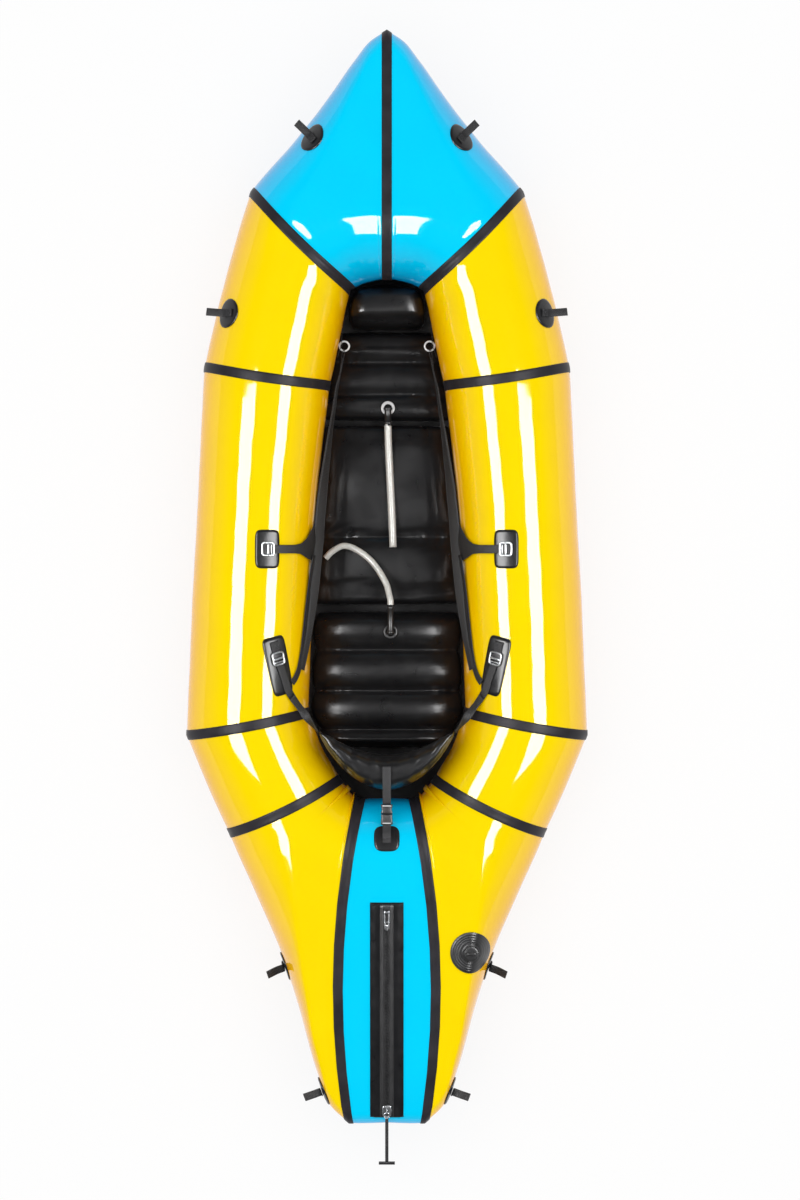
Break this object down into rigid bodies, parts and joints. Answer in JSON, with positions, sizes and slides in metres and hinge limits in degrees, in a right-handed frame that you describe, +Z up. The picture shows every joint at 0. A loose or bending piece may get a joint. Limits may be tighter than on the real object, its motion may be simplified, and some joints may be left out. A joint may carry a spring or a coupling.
{
  "type": "packraft",
  "caption": "One-person packraft: inflated pointed hull of welded panels, padded floor, seat and backrest, thigh straps, tie-down patches, valve and cargo zip.",
  "frame": {"origin": "on the ground under the middle of the bounding box, midway between bow and zip pull", "axes": "+Y towards the bow, +X towards the right side seen from above with the bow away, +Z up"},
  "size_m": [0.925, 2.586, 0.3345],
  "materials": {
    "yellow_hull": "gloss",
    "cyan_hull": "gloss",
    "seam_tape": "satin",
    "floor_sheet": "satin",
    "coated_cushion": "satin",
    "clear_hose": "gloss",
    "webbing": "matte",
    "steel_fitting": "polished",
    "white_ring": "gloss",
    "black_fitting": "satin",
    "zip_sheet": "satin",
    "black_patch": "satin"
  },
  "bodies": {
    "hull": {"back_strap": "webbing", "bottom_sheet": "floor_sheet", "bow_panel_left": "cyan_hull", "bow_panel_right": "cyan_hull", "bow_tape": "seam_tape", "bow_tie_left": "black_patch", "bow_tie_right": "black_patch", "buckle_socket": "black_fitting", "cargo_zip": "zip_sheet", "deck_tape_left": "seam_tape", "deck_tape_right": "seam_tape", "foot_pillow": "coated_cushion", "front_mat": "coated_cushion", "front_panel_left": "yellow_hull", "front_panel_right": "yellow_hull", "front_tape_left": "seam_tape", "front_tape_right": "seam_tape", "front_tie_left": "black_patch", "front_tie_right": "black_patch", "leg_mat": "coated_cushion", "mat_hose": "clear_hose", "mid_panel_left": "yellow_hull", "mid_panel_right": "yellow_hull", "quarter_panel_left": "yellow_hull", "quarter_panel_right": "yellow_hull", "quarter_tape_left": "seam_tape", "quarter_tape_right": "seam_tape", "rear_patch_left": "black_patch", "rear_patch_right": "black_patch", "rear_strap_left": "webbing", "rear_strap_right": "webbing", "rear_tape_left": "seam_tape", "rear_tape_right": "seam_tape", "seat": "coated_cushion", "seat_hose": "clear_hose", "side_patch_left": "black_patch", "side_patch_right": "black_patch", "stern_panel": "cyan_hull", "stern_tape_left": "seam_tape", "stern_tape_right": "seam_tape", "stern_tie_left": "black_patch", "stern_tie_right": "black_patch", "tail_panel_left": "yellow_hull", "tail_panel_right": "yellow_hull", "tail_tie_left": "black_patch", "tail_tie_right": "black_patch", "thigh_strap_left": "webbing", "thigh_strap_right": "webbing", "valve_flange": "black_fitting"},
    "side_lock_left": {"side_lock_left": "steel_fitting"},
    "side_lock_right": {"side_lock_right": "steel_fitting"},
    "rear_lock_left": {"rear_lock_left": "steel_fitting"},
    "rear_lock_right": {"rear_lock_right": "steel_fitting"},
    "front_ring_left": {"front_ring_left": "white_ring"},
    "front_ring_right": {"front_ring_right": "white_ring"},
    "valve_cap": {"valve_cap": "black_fitting"},
    "buckle_plug": {"buckle_plug": "black_fitting"},
    "zip_slider": {"zip_slider": "steel_fitting"},
    "zip_pull": {"zip_pull": "webbing"},
    "backrest": {"backrest": "coated_cushion"}
  },
  "joints": [
    {"name": "side_lock_left_turn", "type": "hinge", "parent": "hull", "child": "side_lock_left", "pos_m": [-0.28284, 0.10749, 0.29703], "axis": [-0.0031, -0.9999, -0.0121], "range_deg": [0, 35], "deforming": ["thigh_strap_left"]},
    {"name": "side_lock_right_turn", "type": "hinge", "parent": "hull", "child": "side_lock_right", "pos_m": [0.28284, 0.10749, 0.29703], "axis": [-0.0031, 0.9999, 0.0121], "range_deg": [0, 35], "deforming": ["thigh_strap_right"]},
    {"name": "rear_lock_left_turn", "type": "hinge", "parent": "hull", "child": "rear_lock_left", "pos_m": [-0.2492, -0.12786, 0.28208], "axis": [-0.8342, -0.2471, 0.4931], "range_deg": [0, 35], "deforming": ["rear_strap_left"]},
    {"name": "rear_lock_right_turn", "type": "hinge", "parent": "hull", "child": "rear_lock_right", "pos_m": [0.2492, -0.12786, 0.28208], "axis": [-0.8342, 0.2471, -0.4931], "range_deg": [0, 35], "deforming": ["rear_strap_right"]},
    {"name": "front_ring_left_turn", "type": "hinge", "parent": "hull", "child": "front_ring_left", "pos_m": [-0.10882, 0.57807, 0.14808], "axis": [0.206, 0.9785, 0.0072], "range_deg": [-40, 40]},
    {"name": "front_ring_right_turn", "type": "hinge", "parent": "hull", "child": "front_ring_right", "pos_m": [0.10882, 0.57807, 0.14808], "axis": [-0.206, 0.9785, 0.0072], "range_deg": [-40, 40]},
    {"name": "valve_cap_turn", "type": "hinge", "parent": "hull", "child": "valve_cap", "pos_m": [0.19185, -0.80927, 0.30125], "axis": [0.0613, -0.0588, 0.9964], "range_deg": [0, 90]},
    {"name": "buckle_plug_slide", "type": "slide", "parent": "hull", "child": "buckle_plug", "axis": [0, 1, 0], "range_m": [0, 0.02], "deforming": ["back_strap"]},
    {"name": "zip_slider_slide", "type": "slide", "parent": "hull", "child": "zip_slider", "axis": [0, 0.9949, 0.1006], "range_m": [0, 0.395]},
    {"name": "zip_pull_turn", "type": "hinge", "parent": "zip_slider", "child": "zip_pull", "pos_m": [0, -1.17403, 0.26713], "axis": [-1, 0, 0], "range_deg": [0, 100]},
    {"name": "backrest_turn", "type": "hinge", "parent": "hull", "child": "backrest", "pos_m": [0, -0.36345, 0.095], "axis": [-1, 0, 0], "range_deg": [0, 60]}
  ]
}
